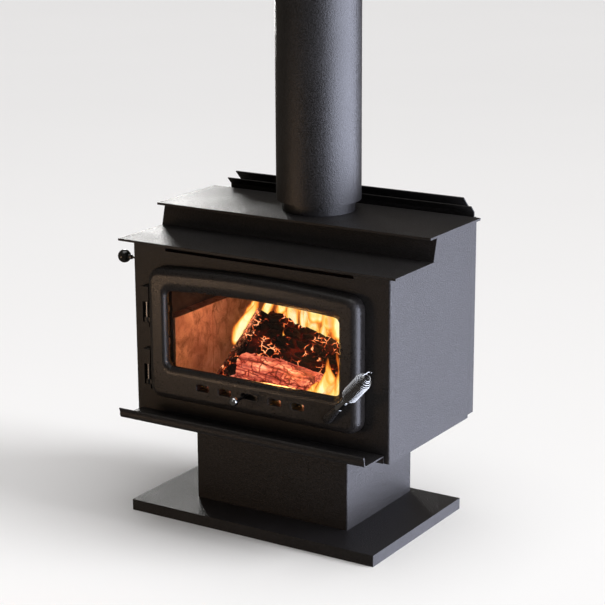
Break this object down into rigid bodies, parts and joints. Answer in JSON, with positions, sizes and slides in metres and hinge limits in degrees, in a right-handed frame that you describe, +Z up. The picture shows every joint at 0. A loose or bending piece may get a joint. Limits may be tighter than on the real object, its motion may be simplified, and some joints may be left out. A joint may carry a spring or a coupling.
{
  "type": "wood heater",
  "caption": "Free-standing wood burning stove on a pedestal, with a stepped top, a flue, a hinged window door, a coil-grip handle and sliding air controls.",
  "frame": {"origin": "on the floor under the middle of the base", "axes": "+X to the right of someone facing the door, -Y towards them, +Z up"},
  "size_m": [0.6975, 0.474, 1.2],
  "materials": {
    "heat_paint": "satin, fine speckle",
    "firebox_steel": "dark, heat-scaled",
    "fire_brick": "matte",
    "plain_steel": "satin",
    "door_casting": "satin black paint",
    "ceramic_glass": "clear",
    "rope_seal": "woven",
    "bright_metal": "polished",
    "knob_black": "gloss"
  },
  "bodies": {
    "stove": {"base_pan": "heat_paint", "pedestal_wrap": "heat_paint", "pedestal_back": "heat_paint", "front_panel": "heat_paint", "side_panel_left": "heat_paint", "side_panel_right": "heat_paint", "ledge_plate": "heat_paint", "riser_plate": "heat_paint", "cooktop_plate": "heat_paint", "flue_pipe": "heat_paint", "flue_casing": "heat_paint", "rear_shield_inner": "heat_paint", "rear_shield_outer": "heat_paint", "ash_shelf": "heat_paint", "hinge_brackets": "heat_paint", "base_stiffeners": "firebox_steel", "firebox_floor": "firebox_steel", "firebox_side_left": "firebox_steel", "firebox_side_right": "firebox_steel", "firebox_rear": "firebox_steel", "side_spacers": "firebox_steel", "flue_collar": "firebox_steel", "casing_spacers": "firebox_steel", "airwash_channel": "firebox_steel", "baffle_rails": "firebox_steel", "brick_retainers": "firebox_steel", "baffle_plate": "fire_brick", "floor_bricks": "fire_brick", "side_bricks": "fire_brick", "rear_bricks": "fire_brick", "pedestal_bolts": "plain_steel", "shield_standoffs": "plain_steel", "shield_screws": "plain_steel", "shelf_bolts": "plain_steel", "hinge_pins": "plain_steel", "boost_bush": "plain_steel"},
    "door": {"door_frame": "door_casting", "door_glass": "ceramic_glass", "glass_gasket": "rope_seal", "glass_clips": "plain_steel", "clip_screws": "plain_steel", "door_rope": "rope_seal", "slide_guides": "firebox_steel"},
    "handle": {"handle_lever": "door_casting", "handle_spindle": "plain_steel", "latch_arm": "plain_steel", "handle_ferrule": "bright_metal", "handle_coil": "bright_metal"},
    "air_control": {"air_slide": "plain_steel", "air_rod": "bright_metal", "air_ball": "bright_metal"},
    "boost_control": {"boost_rod": "knob_black", "boost_ball": "knob_black", "boost_valve": "plain_steel"}
  },
  "joints": [
    {"name": "door_hinge", "type": "hinge", "parent": "stove", "child": "door", "pos_m": [-0.264, -0.156, 0.38], "axis": [0, 0, -1], "range_deg": [0, 105]},
    {"name": "handle_turn", "type": "hinge", "parent": "door", "child": "handle", "pos_m": [0.188, -0.174, 0.287], "axis": [0, 1, 0], "range_deg": [0, 50]},
    {"name": "air_slide_travel", "type": "slide", "parent": "door", "child": "air_control", "axis": [1, 0, 0], "range_m": [-0.006, 0.0215]},
    {"name": "boost_travel", "type": "slide", "parent": "stove", "child": "boost_control", "axis": [-1, 0, 0], "range_m": [-0.0237, 0.008]}
  ]
}
